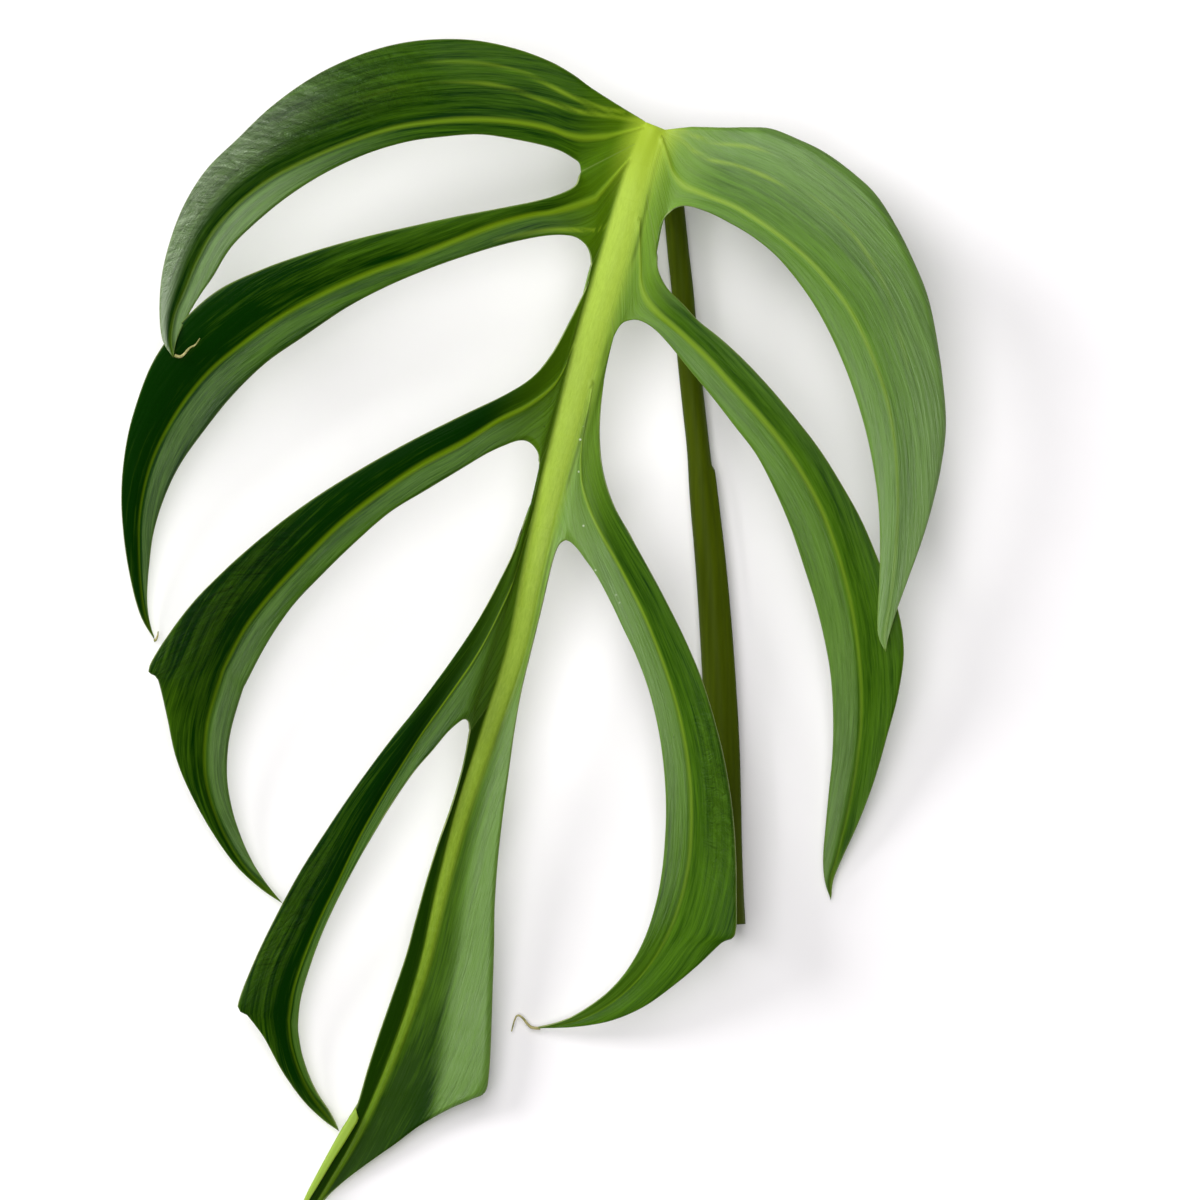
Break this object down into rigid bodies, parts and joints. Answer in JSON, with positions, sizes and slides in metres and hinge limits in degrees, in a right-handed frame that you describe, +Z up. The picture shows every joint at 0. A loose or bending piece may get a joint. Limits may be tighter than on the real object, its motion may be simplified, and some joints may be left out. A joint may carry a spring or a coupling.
{
  "type": "split monstera leaf",
  "caption": "Picked monstera leaf with a deeply split blade of long curved lobes, laid flat, its petiole running under the blade to a cut end.",
  "frame": {"origin": "centre of the bounding box at the table that the leaf lies on", "axes": "+Z up from the table, out of the blade's upper face; -Y towards the blade's tip; +X towards the blade's right side as seen from above with the tip nearest"},
  "size_m": [0.2061, 0.298, 0.0346],
  "materials": {
    "leaf_blade": "waxy satin leaf skin",
    "petiole": "smooth fleshy stalk, low sheen"
  },
  "bodies": {
    "root": {"leaf_blade": "leaf_blade", "petiole": "petiole"}
  },
  "joints": []
}
